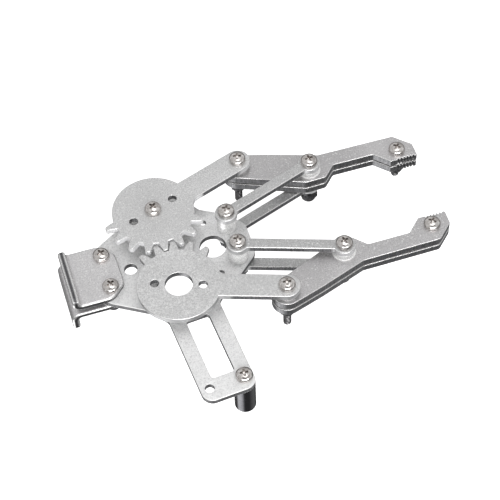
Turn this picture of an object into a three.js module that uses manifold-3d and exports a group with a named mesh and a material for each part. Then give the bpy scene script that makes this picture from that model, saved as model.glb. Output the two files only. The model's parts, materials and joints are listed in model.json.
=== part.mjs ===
// Two-finger servo claw cut from aluminium sheet.
// Millimetres, +Z up, +X towards the finger tips.
// Origin: middle of the palm plate's top face, half-way between the two gear axes.

import * as THREE from 'three';
import * as BufferGeometryUtils from 'three/addons/utils/BufferGeometryUtils.js';
import Module from 'manifold-3d';

const wasm = await Module();
wasm.setup();

// ---------------------------------------------------------------- dimensions
const SHEET = 2.0;                 // thickness of every flat plate but the fingers
const FINGER_SHEET = 2.5;
const GEAR_MODULE = 1.6;
const GEAR_TEETH_FULL = 18;        // teeth on a full wheel of this pitch
const GEAR_AXIS_Y = GEAR_MODULE * GEAR_TEETH_FULL / 2;   // 14.4, half the centre distance
const PITCH_R = GEAR_AXIS_Y;
const TIP_R = PITCH_R + 1.35;
const DISC_R = 12.65;              // disc and tooth root radius
const TOOTH_STEP = 360 / GEAR_TEETH_FULL;

const ARM_LEN = 32.0;              // gear axis to finger pivot, and link pivot to link pivot
const ARM_ANGLE = 19.3;            // arms opened this far from straight ahead, degrees
const ARM_HALF_W = 4.0;
const HORN_BORE_R = 4.15;          // open bore of the drive gear, for the servo horn
const HORN_SCREW_R = 7.2;          // small horn screw holes, from the gear axis
const HORN_SCREW_HOLE_R = 1.35;

const LINK_PIVOT_X = 20.8;         // fixed link pivots on the palm
const LINK_PIVOT_Y = 6.0;
const LINK_W = 3.5;
const LINK_EYE_R = 3.4;

const SCREW_R = 1.25;              // M2.5 fasteners
const HOLE_R = 1.4;
const HEAD_R = 2.6;
const HEAD_H = 2.1;
const NUT_AF = 5.0;
const NUT_H = 3.8;
const WASHER_R = 3.15;
const FOOT_R = 3.7;                // foot of the link pivot spacers
const COLLAR_R = 2.75;             // dark collars between a pivot's lowest plate and its nut
const ARM_COLLAR_H = 1.2;
const LINK_COLLAR_H = 2.0;
const PLAY = 0.05;                 // axial play at every turning joint

// plate levels, bottom faces
const Z_PALM = -SHEET;
const Z_GEAR = 4.8;
const Z_LINK_UP = 5.5;
const Z_LINK_LO = -4.5;
const Z_FINGER_UP = 1.1;
const Z_FINGER_LO = -2.0;

// servo arm of the palm, running out from beside the drive gear's axis
const SERVO_ARM_X = 2.05;          // where the arm's middle line passes the gear axis
const SERVO_ARM_SLANT = 4.6;       // degrees off the -Y direction
const SERVO_ARM_HALF_W = 8.2;
const SERVO_SLOT_HALF_W = 3.6;
const SERVO_HOLE_REACH = 32.85;    // gear axis line to the servo ear hole line
const SERVO_HOLE_PITCH = 10.7;
const SERVO_ARM_END = 37.2;
const STANDOFF_R = 3.2;
const STANDOFF_LEN = 13.6;

const BRACKET_SCREW_X = -19.0;
const BRACKET_SCREW_Y = 5.9;
const BRACKET_BACK_X = -31.6;
const BRACKET_HALF_W = 10.0;
const FLANGE_H = 4.7;              // flange edge to the plate's far face
const LOWER_BACK_X = -32.5;        // the lower bracket reaches further back and down
const LOWER_FLANGE_H = 7.3;

const rad = (d) => d * Math.PI / 180;

// ------------------------------------------------------------------- helpers
const V = (x, y) => new THREE.Vector2(x, y);

// Polygon with rounded corners: entries are [x, y, radius].
function rounded(list, step = 18) {
  const out = [];
  const n = list.length;
  for (let i = 0; i < n; i++) {
    const p = V(list[i][0], list[i][1]);
    const r = list[i][2] || 0;
    if (r <= 0) { out.push(p); continue; }
    const a = V(list[(i + n - 1) % n][0], list[(i + n - 1) % n][1]).sub(p);
    const b = V(list[(i + 1) % n][0], list[(i + 1) % n][1]).sub(p);
    const la = a.length(), lb = b.length();
    a.divideScalar(la); b.divideScalar(lb);
    const half = Math.acos(THREE.MathUtils.clamp(a.dot(b), -1, 1)) / 2;
    const t = Math.min(r / Math.tan(half), la * 0.48, lb * 0.48);
    const rr = t * Math.tan(half);
    const bis = a.clone().add(b).normalize();
    const c = p.clone().addScaledVector(bis, rr / Math.sin(half));
    const s = p.clone().addScaledVector(a, t).sub(c);
    const e = p.clone().addScaledVector(b, t).sub(c);
    let a0 = Math.atan2(s.y, s.x), a1 = Math.atan2(e.y, e.x);
    while (a1 - a0 > Math.PI) a1 -= 2 * Math.PI;
    while (a1 - a0 < -Math.PI) a1 += 2 * Math.PI;
    const k = Math.max(1, Math.ceil(Math.abs(a1 - a0) / rad(step)));
    for (let j = 0; j <= k; j++) {
      const q = a0 + (a1 - a0) * j / k;
      out.push(V(c.x + rr * Math.cos(q), c.y + rr * Math.sin(q)));
    }
  }
  return out;
}

function arc(cx, cy, r, from, to, step = 12) {
  const k = Math.max(1, Math.ceil(Math.abs(to - from) / step));
  const out = [];
  for (let j = 0; j <= k; j++) {
    const q = rad(from + (to - from) * j / k);
    out.push(V(cx + r * Math.cos(q), cy + r * Math.sin(q)));
  }
  return out;
}

function clean(points) {
  const out = [];
  for (const p of points) {
    if (!out.length || out[out.length - 1].distanceTo(p) > 0.02) out.push(p);
  }
  while (out.length > 1 && out[0].distanceTo(out[out.length - 1]) < 0.02) out.pop();
  return out;
}

const hole = (x, y, r, n = 14) => {
  const pts = [];
  for (let i = 0; i < n; i++) {
    const q = 2 * Math.PI * i / n;
    pts.push(V(x + r * Math.cos(q), y + r * Math.sin(q)));
  }
  return pts;
};

// Flat plate: outline and holes as point lists, from z0 up by the sheet thickness.
function plate(outline, holes, z0, thick = SHEET) {
  const shape = new THREE.Shape(clean(outline));
  for (const h of holes) shape.holes.push(new THREE.Path(clean(h)));
  const g = new THREE.ExtrudeGeometry(shape, { depth: thick, bevelEnabled: false, curveSegments: 1 });
  g.translate(0, 0, z0);
  return g;
}

const mirrorY = (pts) => pts.map((p) => V(p.x, -p.y)).reverse();

function bare(g) {
  const c = g.clone();
  c.deleteAttribute('normal');
  c.deleteAttribute('uv');
  return BufferGeometryUtils.mergeVertices(c, 1e-4);
}

function solid(g) {
  const m = bare(g);
  return new wasm.Manifold(new wasm.Mesh({
    numProp: 3,
    vertProperties: new Float32Array(m.attributes.position.array),
    triVerts: new Uint32Array(m.index.array),
  }));
}

function unsolid(s) {
  const m = s.getMesh();
  const g = new THREE.BufferGeometry();
  g.setAttribute('position', new THREE.BufferAttribute(new Float32Array(m.vertProperties), 3));
  g.setIndex(new THREE.BufferAttribute(new Uint32Array(m.triVerts), 1));
  return g;
}

// Solid of revolution about Z from a closed (radius, z) profile.
function turned(profile, n = 16) {
  const g = new THREE.LatheGeometry(profile.map((p) => V(p[0], p[1])), n);
  g.rotateX(Math.PI / 2);
  return g;
}

// ----------------------------------------------------------------- materials
const claw = new THREE.Group();
claw.name = 'servo_claw';

function mat(color, roughness, metalness) {
  return new THREE.MeshStandardMaterial({ color, roughness, metalness });
}
function add(name, geometry, material, x = 0, y = 0, z = 0, rz = 0) {
  const mesh = new THREE.Mesh(geometry, material);
  mesh.name = name;
  mesh.position.set(x, y, z);
  mesh.rotation.set(0, 0, rz);
  claw.add(mesh);
  return mesh;
}
const aluminium = () => mat(0xb9babc, 0.42, 1.0);
const steel = () => mat(0x9c948c, 0.22, 1.0);
const darkSteel = () => mat(0x2c2c2f, 0.4, 0.9);
const bright = () => mat(0xd6d7d8, 0.25, 1.0);

// ------------------------------------------------------- fasteners and rings
// Pan-head screw, z = 0 under the head.
function screw(len) {
  return turned([
    [0, -len], [SCREW_R, -len], [SCREW_R, 0],
    [HEAD_R, 0], [HEAD_R, HEAD_H * 0.45], [HEAD_R * 0.7, HEAD_H * 0.9], [0, HEAD_H],
  ], 14);
}
// Hexagonal locking nut, z = 0 at its top face, hanging down.
function nut(h = NUT_H) {
  const hex = [];
  for (let i = 0; i < 6; i++) {
    const q = rad(60 * i + 30);
    hex.push(V(NUT_AF / 2 / Math.cos(rad(30)) * Math.cos(q), NUT_AF / 2 / Math.cos(rad(30)) * Math.sin(q)));
  }
  return plate(hex, [hole(0, 0, SCREW_R + 2 * PLAY, 12)], -h, h);
}
// Plain ring, z = 0 at its bottom face.
function ring(ro, h, ri = HOLE_R) {
  return turned([[ri, 0], [ro, 0], [ro, h], [ri, h], [ri, 0]], 16);
}

// --------------------------------------------------------------- palm plate
function palmGeometry() {
  // Servo arm corners, in a frame that starts beside the drive gear's axis.
  const sa = rad(-90 + SERVO_ARM_SLANT);
  const ux = Math.cos(sa), uy = Math.sin(sa);       // along the arm
  const px = -uy, py = ux;                          // across it, towards +X
  const at = (along, across) => [SERVO_ARM_X + ux * along + px * across, -GEAR_AXIS_Y + uy * along + py * across];

  const L0 = at(6.5, -SERVO_ARM_HALF_W), L1 = at(SERVO_ARM_END, -SERVO_ARM_HALF_W);
  const R1 = at(SERVO_ARM_END, SERVO_ARM_HALF_W), R0 = at(6.0, SERVO_ARM_HALF_W);

  const outline = rounded([
    [-22.4, -8.4, 2.0], [-20.0, -10.5, 2.5], [-10.0, -16.6, 3.0],
    [L0[0], L0[1], 3.0], [L1[0], L1[1], 3.4], [R1[0], R1[1], 3.4], [R0[0], R0[1], 2.0],
    [14.6, -15.3, 3.0], [19.6, -12.3, 3.0],
    [26.6, -6.0, 5.4], [26.6, 6.0, 5.4],
    [19.6, 12.3, 3.0], [14.6, 15.2, 3.0], [9.5, 22.6, 5.0], [-4.5, 22.6, 5.0],
    [-10.0, 16.6, 3.0], [-20.0, 10.5, 2.5], [-22.4, 8.4, 2.0],
  ], 20);

  const s = (along, across) => { const q = at(along, across); return V(q[0], q[1]); };
  const slot = rounded([
    s(8.6, -SERVO_SLOT_HALF_W), s(30.0, -SERVO_SLOT_HALF_W),
    s(30.0, SERVO_SLOT_HALF_W), s(8.6, SERVO_SLOT_HALF_W),
  ].map((p) => [p.x, p.y, 1.0]), 30);

  const h1 = at(SERVO_HOLE_REACH, -SERVO_HOLE_PITCH / 2);
  const h2 = at(SERVO_HOLE_REACH, SERVO_HOLE_PITCH / 2);
  return plate(outline, [
    hole(1.5, -12.0, 8.0, 32),                        // clearance for the servo's horn
    slot,
    hole(-11.45, 0, 2.0, 20),
    hole(14.6, 0.3, 4.1, 28),
    hole(14.2, 9.9, 1.0, 12), hole(14.2, -9.9, 1.0, 12),
    hole(0, GEAR_AXIS_Y, HOLE_R),
    hole(LINK_PIVOT_X, LINK_PIVOT_Y, HOLE_R), hole(LINK_PIVOT_X, -LINK_PIVOT_Y, HOLE_R),
    hole(BRACKET_SCREW_X, BRACKET_SCREW_Y, HOLE_R), hole(BRACKET_SCREW_X, -BRACKET_SCREW_Y, HOLE_R),
    hole(h1[0], h1[1], HOLE_R), hole(h2[0], h2[1], HOLE_R),
  ], Z_PALM);
}
add('palm_plate', palmGeometry(), aluminium());

// ---------------------------------------------------------- toothed gear arms
// Drawn about the gear axis with the arm along +X; side +1 turns its teeth to -Y.
function gearArm(toothAngles, bored) {
  const pts = [];
  // half widths of a tooth at root, pitch and tip, in degrees
  const hr = 6.6, hp = 4.6, ht = 2.3;
  // arm end
  pts.push(...arc(ARM_LEN, 0, ARM_HALF_W, -90, 90, 15));
  // upper root of the arm meets the disc in a crisp corner
  const meet = Math.asin(ARM_HALF_W / DISC_R) * 180 / Math.PI;
  const list = toothAngles.slice().sort((a, b) => b - a);     // from -50 downwards
  const first = list[list.length - 1] + 360;                  // last tooth seen from the far side
  // plain back of the disc, counter-clockwise from the arm to the last tooth
  pts.push(...arc(0, 0, DISC_R, meet, first - hr, 10));
  // teeth, counter-clockwise
  for (let i = list.length - 1; i >= 0; i--) {
    const c = list[i] + 360;
    pts.push(...arc(0, 0, DISC_R, c - hr, c - hr, 1));
    pts.push(V((PITCH_R - 0.2) * Math.cos(rad(c - hp)), (PITCH_R - 0.2) * Math.sin(rad(c - hp))));
    pts.push(V((TIP_R - 0.25) * Math.cos(rad(c - ht - 0.6)), (TIP_R - 0.25) * Math.sin(rad(c - ht - 0.6))));
    pts.push(V(TIP_R * Math.cos(rad(c - ht + 0.8)), TIP_R * Math.sin(rad(c - ht + 0.8))));
    pts.push(V(TIP_R * Math.cos(rad(c + ht - 0.8)), TIP_R * Math.sin(rad(c + ht - 0.8))));
    pts.push(V((TIP_R - 0.25) * Math.cos(rad(c + ht + 0.6)), (TIP_R - 0.25) * Math.sin(rad(c + ht + 0.6))));
    pts.push(V((PITCH_R - 0.2) * Math.cos(rad(c + hp)), (PITCH_R - 0.2) * Math.sin(rad(c + hp))));
    pts.push(...arc(0, 0, DISC_R, c + hr, c + hr, 1));
  }
  // disc to the arm's inner root, which has a fillet
  const lastEnd = list[0] + 360 + hr;
  const fr = 2.6;
  const fx = Math.sqrt((DISC_R + fr) ** 2 - (ARM_HALF_W + fr) ** 2);
  const fa = Math.atan2(-(ARM_HALF_W + fr), fx) * 180 / Math.PI + 360;
  pts.push(...arc(0, 0, DISC_R, lastEnd, fa, 10));
  const f0 = fa - 180, f1 = 90;
  pts.push(...arc(fx, -(ARM_HALF_W + fr), fr, f0, f1, 15));
  const holes = [
    hole(ARM_LEN, 0, HOLE_R),
    hole(HORN_SCREW_R, 0, HORN_SCREW_HOLE_R, 14), hole(-HORN_SCREW_R, 0, HORN_SCREW_HOLE_R, 14),
    bored ? hole(0, 0, HORN_BORE_R, 28) : hole(0, 0, HOLE_R),
  ];
  return { pts, holes };
}
// Left arm: teeth from -31 to -171 degrees at rest. Right arm: half a step out of phase.
const leftTeeth = [], rightTeeth = [];
for (let k = 0; k < 8; k++) leftTeeth.push(-31 - TOOTH_STEP * k - ARM_ANGLE);
for (let k = 0; k < 5; k++) rightTeeth.push(-41 - TOOTH_STEP * k - ARM_ANGLE);
{
  const a = gearArm(leftTeeth, false);
  add('driven_gear_arm', plate(a.pts, a.holes, 0), aluminium(), 0, GEAR_AXIS_Y, Z_GEAR, rad(ARM_ANGLE));
  const b = gearArm(rightTeeth, true);
  add('drive_gear_arm', plate(mirrorY(b.pts), b.holes.map(mirrorY), 0), aluminium(), 0, -GEAR_AXIS_Y, Z_GEAR, -rad(ARM_ANGLE));
}

// --------------------------------------------------------------- finger plates
// Drawn about the link pivot, fingertip towards +X, outside towards +Y.
const FP = V(-LINK_PIVOT_X, GEAR_AXIS_Y - LINK_PIVOT_Y);            // arm pivot
const FINGER_R = 4.65;
const TIP_SCREW = V(28.8, -1.2);
function fingerOutline() {
  const outN = V(0.322, 0.947), inN = V(-0.374, -0.927);
  const aOut = Math.atan2(outN.y, outN.x) * 180 / Math.PI;
  const aIn = Math.atan2(inN.y, inN.x) * 180 / Math.PI;
  const pts = [];
  // gripping face: saw cuts along -Y
  const face = [];
  const y0 = -4.9, depth = 0.5, x0 = 27.6, x1 = 33.6, cuts = 6;
  const pitch = (x1 - x0) / cuts;
  for (let i = 0; i < cuts; i++) {
    const a = x0 + i * pitch;
    face.push([a + 0.28 * pitch, y0, 0], [a + 0.42 * pitch, y0 + depth, 0], [a + 0.72 * pitch, y0 + depth, 0], [a + 0.86 * pitch, y0, 0]);
  }
  const body = rounded([
    [-10, -1.05 - 0.05, 0.0],
    [-2.2, -4.45, 3.0], [4.2, -4.3, 1.6], [7.9, -0.45, 1.0], [21.2, -0.5, 0.8],
    [25.6, -4.9, 0.5], ...face, [34.4, -4.9, 0.7],
    [34.35, -0.2, 0.9], [29.4, 4.6, 1.4], [4.6, 4.85, 1.5],
    [-10, 9.95, 0],
  ], 18);
  pts.push(...body);
  pts.push(...arc(FP.x, FP.y, FINGER_R, aOut, aIn + 360, 15));
  return pts;
}
const fingerHoles = () => [
  hole(FP.x, FP.y, HOLE_R), hole(0, 0, HOLE_R), hole(TIP_SCREW.x, TIP_SCREW.y, HOLE_R),
];
const armDX = ARM_LEN * Math.cos(rad(ARM_ANGLE)), armDY = ARM_LEN * Math.sin(rad(ARM_ANGLE));
const FX = LINK_PIVOT_X + armDX, FY = LINK_PIVOT_Y + armDY;        // link to finger pivot
const AX = armDX, AY = GEAR_AXIS_Y + armDY;                        // arm to finger pivot
for (const [side, m] of [['left', 1], ['right', -1]]) {
  for (const [lvl, z] of [['upper', Z_FINGER_UP], ['lower', Z_FINGER_LO]]) {
    const o = fingerOutline(), h = fingerHoles();
    const g = m > 0 ? plate(o, h, 0, FINGER_SHEET) : plate(mirrorY(o), h.map(mirrorY), 0, FINGER_SHEET);
    add(`${side}_finger_${lvl}_plate`, g, aluminium(), FX, m * FY, z);
  }
}

// ----------------------------------------------------------------------- links
function linkGeometry() {
  const a = Math.asin((LINK_W / 2) / LINK_EYE_R) * 180 / Math.PI;
  const pts = [
    ...arc(0, 0, LINK_EYE_R, a, 360 - a, 15),
    ...arc(ARM_LEN, 0, LINK_EYE_R, 180 + a, 540 - a, 15),
  ];
  return plate(pts, [hole(0, 0, HOLE_R), hole(ARM_LEN, 0, HOLE_R)], 0);
}
for (const [side, m] of [['left', 1], ['right', -1]]) {
  add(`${side}_upper_link`, linkGeometry(), aluminium(), LINK_PIVOT_X, m * LINK_PIVOT_Y, Z_LINK_UP, m * rad(ARM_ANGLE));
  add(`${side}_lower_link`, linkGeometry(), aluminium(), LINK_PIVOT_X, m * LINK_PIVOT_Y, Z_LINK_LO, m * rad(ARM_ANGLE));
}

// ---------------------------------------------------------------- rear bracket
// Two bent plates that clamp the tail of the palm; each has a flange at the back.
function bracketGeometry(B, flangeH, cornerR) {
  const flat = plate(rounded([
    [B + 1.2, -BRACKET_HALF_W, 0.6], [-19.2, -BRACKET_HALF_W, 4.4], [-14.7, -5.6, 2.6],
    [-14.7, 5.6, 2.6], [-19.2, BRACKET_HALF_W, 4.4], [B + 1.2, BRACKET_HALF_W, 0.6],
  ], 20), [hole(BRACKET_SCREW_X, BRACKET_SCREW_Y, HOLE_R), hole(BRACKET_SCREW_X, -BRACKET_SCREW_Y, HOLE_R)], 0);
  // flange profile in X-Z, swept along Y
  const prof = [V(B + 3.9, 0), V(B + 3.9, SHEET)];
  for (let i = 0; i <= 4; i++) {                       // inside of the bend
    const q = rad(-90 - 90 * i / 4);
    prof.push(V(B + 3.4 + 1.2 * Math.cos(q), SHEET + 1.2 + 1.2 * Math.sin(q)));
  }
  prof.push(V(B + 2.2, flangeH - 0.3), V(B + 1.9, flangeH), V(B + 0.3, flangeH), V(B, flangeH - 0.3));
  for (let i = 0; i <= 5; i++) {                       // outside of the bend
    const q = rad(180 + 90 * i / 5);
    prof.push(V(B + 2.6 + 2.6 * Math.cos(q), 2.6 + 2.6 * Math.sin(q)));
  }
  const flange = new THREE.ExtrudeGeometry(new THREE.Shape(clean(prof)), { depth: 2 * BRACKET_HALF_W, bevelEnabled: false, curveSegments: 1 });
  flange.rotateX(Math.PI / 2);
  flange.translate(0, BRACKET_HALF_W, 0);
  // flange outline in Y-Z, with its free corners rounded
  const face = new THREE.ExtrudeGeometry(new THREE.Shape(clean(rounded([
    [-BRACKET_HALF_W, -1, 0], [BRACKET_HALF_W, -1, 0],
    [BRACKET_HALF_W, flangeH, cornerR], [-BRACKET_HALF_W, flangeH, cornerR],
  ], 22.5))), { depth: 8, bevelEnabled: false, curveSegments: 1 });
  face.applyMatrix4(new THREE.Matrix4().makeBasis(
    new THREE.Vector3(0, 1, 0), new THREE.Vector3(0, 0, 1), new THREE.Vector3(1, 0, 0)));
  face.translate(B - 2, 0, 0);
  const cut = solid(new THREE.BoxGeometry(4.2, 60, 12).translate(B + 1.0, 0, 0));
  return unsolid(solid(flat).subtract(cut).add(solid(flange).intersect(solid(face))));
}
add('upper_rear_bracket', bracketGeometry(BRACKET_BACK_X, FLANGE_H, 1.7), aluminium(), 0, 0, 0);
{
  const low = bracketGeometry(LOWER_BACK_X, LOWER_FLANGE_H, 1.3);
  low.rotateX(Math.PI);
  add('lower_rear_bracket', low, aluminium(), 0, 0, -SHEET);
}
for (const [side, m] of [['left', 1], ['right', -1]]) {
  add(`${side}_bracket_screw`, screw(10.6), steel(), BRACKET_SCREW_X, m * BRACKET_SCREW_Y, SHEET);
  add(`${side}_bracket_nut`, nut(), darkSteel(), BRACKET_SCREW_X, m * BRACKET_SCREW_Y, -2 * SHEET);
}

// ------------------------------------------------------------ driven gear pivot
add('gear_pivot_screw', screw(14), steel(), 0, GEAR_AXIS_Y, Z_GEAR + SHEET + PLAY);
add('gear_pivot_spacer', ring(2.9, Z_GEAR - PLAY), bright(), 0, GEAR_AXIS_Y, 0);
add('gear_pivot_nut', nut(), darkSteel(), 0, GEAR_AXIS_Y, Z_PALM);

// ------------------------------------------------------------- servo standoff
{
  const sa = rad(-90 + SERVO_ARM_SLANT);
  const sx = SERVO_ARM_X + Math.cos(sa) * SERVO_HOLE_REACH - Math.sin(sa) * SERVO_HOLE_PITCH / 2;
  const sy = -GEAR_AXIS_Y + Math.sin(sa) * SERVO_HOLE_REACH + Math.cos(sa) * SERVO_HOLE_PITCH / 2;
  add('servo_standoff', turned([
    [HOLE_R, 0], [STANDOFF_R - 0.3, 0], [STANDOFF_R, 0.3], [STANDOFF_R, STANDOFF_LEN - 0.3],
    [STANDOFF_R - 0.3, STANDOFF_LEN], [HOLE_R, STANDOFF_LEN], [HOLE_R, 0],
  ], 24), darkSteel(), sx, sy, Z_PALM - STANDOFF_LEN);
  add('servo_standoff_screw', screw(8), steel(), sx, sy, 0);
}

// --------------------------------------------------------- pivots on each side
for (const [side, m] of [['left', 1], ['right', -1]]) {
  // fixed link pivot on the palm
  const bx = LINK_PIVOT_X, by = m * LINK_PIVOT_Y;
  add(`${side}_link_base_screw`, screw(18), steel(), bx, by, Z_LINK_UP + SHEET + PLAY);
  add(`${side}_link_base_spacer`, ring(2.95, Z_LINK_UP - PLAY), bright(), bx, by, 0);
  add(`${side}_link_base_washer`, ring(WASHER_R, 0.45), bright(), bx, by, Z_PALM - 0.45);
  add(`${side}_link_base_nut`, nut(), darkSteel(), bx, by, Z_LINK_LO - PLAY);
  // gear arm to finger
  const ax = AX, ay = m * AY;
  add(`${side}_arm_pivot_screw`, screw(20), steel(), ax, ay, Z_GEAR + SHEET + PLAY);
  add(`${side}_arm_pivot_washer`, ring(WASHER_R, Z_GEAR - PLAY - (Z_FINGER_UP + FINGER_SHEET)), bright(), ax, ay, Z_FINGER_UP + FINGER_SHEET);
  add(`${side}_arm_pivot_shim`, ring(WASHER_R, Z_FINGER_UP - Z_FINGER_LO - FINGER_SHEET), bright(), ax, ay, Z_FINGER_LO + FINGER_SHEET);
  add(`${side}_arm_pivot_collar`, ring(COLLAR_R, ARM_COLLAR_H), darkSteel(), ax, ay, Z_FINGER_LO - ARM_COLLAR_H);
  add(`${side}_arm_pivot_nut`, nut(), darkSteel(), ax, ay, Z_FINGER_LO - ARM_COLLAR_H);
  // link to finger
  const lx = FX, ly = m * FY;
  add(`${side}_link_pivot_screw`, screw(18), steel(), lx, ly, Z_LINK_UP + SHEET + PLAY);
  const gap = Z_LINK_UP - PLAY - (Z_FINGER_UP + FINGER_SHEET);
  add(`${side}_link_pivot_spacer`, turned([
    [HOLE_R, 0], [FOOT_R, 0], [FOOT_R, 0.55], [2.6, 0.55], [2.6, gap], [HOLE_R, gap], [HOLE_R, 0],
  ], 18), bright(), lx, ly, Z_FINGER_UP + FINGER_SHEET);
  add(`${side}_link_pivot_shim`, ring(WASHER_R, Z_FINGER_UP - Z_FINGER_LO - FINGER_SHEET), bright(), lx, ly, Z_FINGER_LO + FINGER_SHEET);
  add(`${side}_link_pivot_washer`, ring(WASHER_R, Z_FINGER_LO - (Z_LINK_LO + SHEET) - PLAY), bright(), lx, ly, Z_LINK_LO + SHEET + PLAY);
  add(`${side}_link_pivot_collar`, ring(COLLAR_R, LINK_COLLAR_H), darkSteel(), lx, ly, Z_LINK_LO - PLAY - LINK_COLLAR_H);
  add(`${side}_link_pivot_nut`, nut(), darkSteel(), lx, ly, Z_LINK_LO - PLAY - LINK_COLLAR_H);
  // fingertip screw through both plates
  const tx = FX + TIP_SCREW.x, ty = m * (FY + TIP_SCREW.y);
  add(`${side}_tip_screw`, screw(12), steel(), tx, ty, Z_FINGER_UP + FINGER_SHEET);
  add(`${side}_tip_shim`, ring(WASHER_R, Z_FINGER_UP - Z_FINGER_LO - FINGER_SHEET), bright(), tx, ty, Z_FINGER_LO + FINGER_SHEET);
  add(`${side}_tip_nut`, nut(), darkSteel(), tx, ty, Z_FINGER_LO);
}

export default claw;
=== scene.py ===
import json
import math

import bmesh
import bpy
from mathutils import Matrix, Vector


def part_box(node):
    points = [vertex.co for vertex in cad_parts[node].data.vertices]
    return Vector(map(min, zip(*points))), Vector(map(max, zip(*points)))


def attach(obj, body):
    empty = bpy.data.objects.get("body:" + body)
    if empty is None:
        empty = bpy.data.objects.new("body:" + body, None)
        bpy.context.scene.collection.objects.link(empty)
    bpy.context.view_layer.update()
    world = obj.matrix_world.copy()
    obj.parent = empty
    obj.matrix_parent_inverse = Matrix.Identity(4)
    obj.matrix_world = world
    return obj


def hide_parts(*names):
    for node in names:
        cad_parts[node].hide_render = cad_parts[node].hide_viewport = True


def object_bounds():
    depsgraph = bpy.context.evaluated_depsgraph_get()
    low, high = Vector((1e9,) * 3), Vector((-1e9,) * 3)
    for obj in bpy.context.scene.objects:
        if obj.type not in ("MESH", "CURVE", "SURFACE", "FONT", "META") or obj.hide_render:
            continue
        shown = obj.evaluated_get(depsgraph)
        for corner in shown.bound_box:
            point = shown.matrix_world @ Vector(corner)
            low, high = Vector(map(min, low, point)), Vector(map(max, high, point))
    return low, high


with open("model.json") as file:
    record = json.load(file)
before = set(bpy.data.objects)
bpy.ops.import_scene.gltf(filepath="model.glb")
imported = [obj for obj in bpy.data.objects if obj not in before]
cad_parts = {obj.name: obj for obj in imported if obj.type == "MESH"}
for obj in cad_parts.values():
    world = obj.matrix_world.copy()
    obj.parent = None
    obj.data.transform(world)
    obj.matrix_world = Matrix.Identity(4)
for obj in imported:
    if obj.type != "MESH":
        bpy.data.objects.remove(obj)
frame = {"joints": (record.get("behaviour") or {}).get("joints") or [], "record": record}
cad_box = [list(v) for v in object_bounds()]

# ----------------------------------------------------------------------------
# Sizes, in millimetres, as the CAD source has them. Places come from the frame.
# ----------------------------------------------------------------------------
MM = 0.001
SHEET = 2.0
GEAR_AXIS_Y = 14.4
PITCH_R = 14.4
TIP_R = 15.75
DISC_R = 12.65
TOOTH_STEP = 20.0
ARM_LEN = 32.0
ARM_HALF_W = 4.0
HORN_BORE_R = 4.15
HORN_SCREW_R = 7.2
HORN_SCREW_HOLE_R = 1.35
LINK_PIVOT_X = 20.8
LINK_PIVOT_Y = 6.0
LINK_W = 3.5
LINK_EYE_R = 3.4
SCREW_R = 1.25
HOLE_R = 1.4
HEAD_R = 2.6
HEAD_H = 2.1
NUT_AF = 5.0
NUT_H = 3.8
SERVO_ARM_X = 2.05
SERVO_ARM_SLANT = 4.6
SERVO_ARM_HALF_W = 8.2
SERVO_SLOT_HALF_W = 3.6
SERVO_HOLE_REACH = 32.85
SERVO_HOLE_PITCH = 10.7
SERVO_ARM_END = 37.2
BRACKET_SCREW_X = -19.0
BRACKET_SCREW_Y = 5.9
BRACKET_BACK_X = -31.6
BRACKET_HALF_W = 10.0
FLANGE_H = 4.7
LOWER_BACK_X = -32.5
LOWER_FLANGE_H = 7.3

JOINTS = {j["name"]: j for j in frame["joints"]}
NODE_BODY = {
    n: b for b, ns in frame["record"]["behaviour"]["bodies"].items() for n in ns
}


def joint_xy(name):
    p = JOINTS[name]["pos_m"]
    return Vector((p[0] / MM, p[1] / MM))


DRIVE = joint_xy("drive_gear_turn")
DRIVEN = joint_xy("driven_gear_turn")
BASE = {"left": joint_xy("left_link_swing"), "right": joint_xy("right_link_swing")}
ARM_PIVOT = {
    "left": joint_xy("left_finger_pivot"),
    "right": joint_xy("right_finger_pivot"),
}
_d = ARM_PIVOT["left"] - DRIVEN
ARM_ANGLE = math.degrees(math.atan2(_d.y, _d.x))
LINK_PIVOT = {
    "left": BASE["left"] + (ARM_PIVOT["left"] - DRIVEN),
    "right": BASE["right"] + (ARM_PIVOT["right"] - DRIVE),
}


def rad(d):
    return d * math.pi / 180


# ----------------------------------------------------------------------------
# Outlines
# ----------------------------------------------------------------------------
def rounded(points, step=6.0):
    """Closed polygon from [x, y, corner radius] entries."""
    out = []
    n = len(points)
    for i in range(n):
        p = Vector(points[i][:2])
        r = points[i][2]
        if r <= 0:
            out.append(p)
            continue
        a = Vector(points[i - 1][:2]) - p
        b = Vector(points[(i + 1) % n][:2]) - p
        la, lb = a.length, b.length
        a /= la
        b /= lb
        half = math.acos(max(-1, min(1, a.dot(b)))) / 2
        t = min(r / math.tan(half), la * 0.48, lb * 0.48)
        rr = t * math.tan(half)
        c = p + (a + b).normalized() * (rr / math.sin(half))
        s = p + a * t - c
        e = p + b * t - c
        a0, a1 = math.atan2(s.y, s.x), math.atan2(e.y, e.x)
        while a1 - a0 > math.pi:
            a1 -= 2 * math.pi
        while a1 - a0 < -math.pi:
            a1 += 2 * math.pi
        k = max(1, math.ceil(abs(a1 - a0) / rad(step) - 1e-6))
        if rr < 0.6:
            k = min(k, 4)
        for j in range(k + 1):
            q = a0 + (a1 - a0) * j / k
            out.append(Vector((c.x + rr * math.cos(q), c.y + rr * math.sin(q))))
    return out


def arc(cx, cy, r, start, end, step=4.0):
    k = max(1, math.ceil(abs(end - start) / step - 1e-6))
    return [
        Vector(
            (
                cx + r * math.cos(rad(start + (end - start) * j / k)),
                cy + r * math.sin(rad(start + (end - start) * j / k)),
            )
        )
        for j in range(k + 1)
    ]


def clean(points, tol=0.02):
    out = []
    for p in points:
        if not out or (out[-1] - p).length > tol:
            out.append(p)
    while len(out) > 1 and (out[0] - out[-1]).length < tol:
        out.pop()
    return out


def circle(x, y, r, n=48):
    return [
        Vector(
            (
                x + r * math.cos(2 * math.pi * i / n),
                y + r * math.sin(2 * math.pi * i / n),
            )
        )
        for i in range(n)
    ]


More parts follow.
